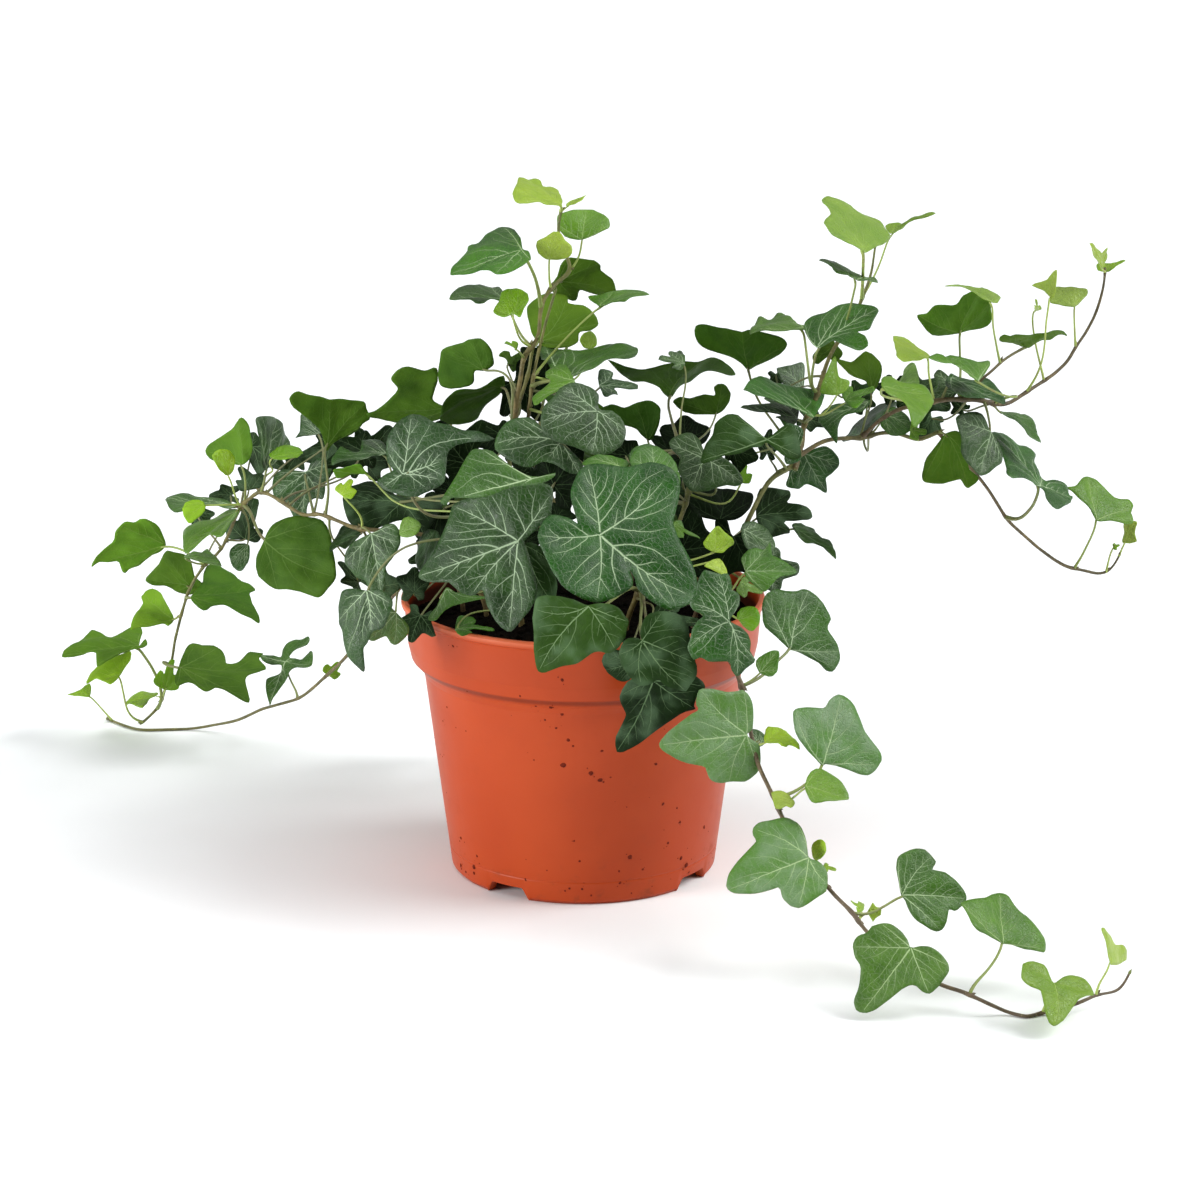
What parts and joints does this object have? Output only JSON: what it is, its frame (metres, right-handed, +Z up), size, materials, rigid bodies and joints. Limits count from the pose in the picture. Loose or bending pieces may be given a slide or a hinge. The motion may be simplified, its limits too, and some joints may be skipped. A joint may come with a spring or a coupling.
{
  "type": "potted ivy",
  "caption": "Trailing ivy with lobed, pale-veined leaves in a round moulded plastic nursery pot; stems arch up and spill over the rim to the surface.",
  "frame": {"origin": "centre of the pot's foot ring, on the surface that the pot stands on", "axes": "+Z up along the pot's axis, +X to the viewer's right in the picture's view, +Y away from the viewer"},
  "size_m": [0.384, 0.3151, 0.2279],
  "materials": {
    "pot_plastic": "moulded terracotta-coloured polypropylene, satin",
    "compost": "moist dark peat compost, crumbly",
    "stem": "brown-green young bark with nodes",
    "leaf_mature": "dark blue-green leaf, pale veins, waxy sheen",
    "leaf_mid": "mid-green leaf, pale veins, waxy sheen",
    "leaf_young": "young yellow-green leaf"
  },
  "bodies": {
    "root": {"pot": "pot_plastic", "soil": "compost", "stem_left_upper": "stem", "stem_left_trailing": "stem", "stem_centre": "stem", "stem_right": "stem", "stem_front_trailing": "stem", "stem_front": "stem", "stem_back_upright": "stem", "stem_back_trailing": "stem", "stem_back_left": "stem", "leaf_front_01": "leaf_mature", "leaf_right_01": "leaf_mid", "leaf_trailing_left_01": "leaf_mature", "leaf_right_02": "leaf_mid", "leaf_trailing_right_01": "leaf_mature", "leaf_top_01": "leaf_mid", "leaf_top_02": "leaf_mid", "leaf_middle_01": "leaf_mature", "leaf_trailing_left_02": "leaf_mature", "leaf_back_01": "leaf_mature", "leaf_back_02": "leaf_mid", "leaf_front_02": "leaf_mid", "leaf_left_01": "leaf_mature", "leaf_left_02": "leaf_mature", "leaf_middle_02": "leaf_mature", "leaf_middle_03": "leaf_mid", "leaf_middle_04": "leaf_mature", "leaf_trailing_right_02": "leaf_mid", "leaf_trailing_left_03": "leaf_mature", "leaf_middle_05": "leaf_mature", "leaf_back_03": "leaf_mature", "leaf_back_04": "leaf_mature", "leaf_back_05": "leaf_mature", "leaf_back_06": "leaf_mature", "leaf_back_07": "leaf_mature", "leaf_right_03": "leaf_mid", "leaf_back_08": "leaf_mid", "leaf_left_03": "leaf_mid", "leaf_back_09": "leaf_mature", "leaf_back_10": "leaf_mature", "leaf_top_03": "leaf_young", "leaf_back_11": "leaf_mid", "leaf_trailing_right_03": "leaf_mid", "leaf_right_04": "leaf_mid", "leaf_back_12": "leaf_mature", "leaf_back_13": "leaf_mid", "leaf_front_03": "leaf_mature", "leaf_back_14": "leaf_mature", "leaf_left_04": "leaf_mature", "leaf_middle_06": "leaf_mature", "leaf_back_15": "leaf_mature", "leaf_middle_07": "leaf_mature", "leaf_front_04": "leaf_mature", "leaf_back_16": "leaf_mid", "leaf_right_05": "leaf_mid", "leaf_trailing_right_04": "leaf_mid", "leaf_right_06": "leaf_mid", "leaf_trailing_right_05": "leaf_mid", "leaf_left_05": "leaf_mid"}
  },
  "joints": []
}
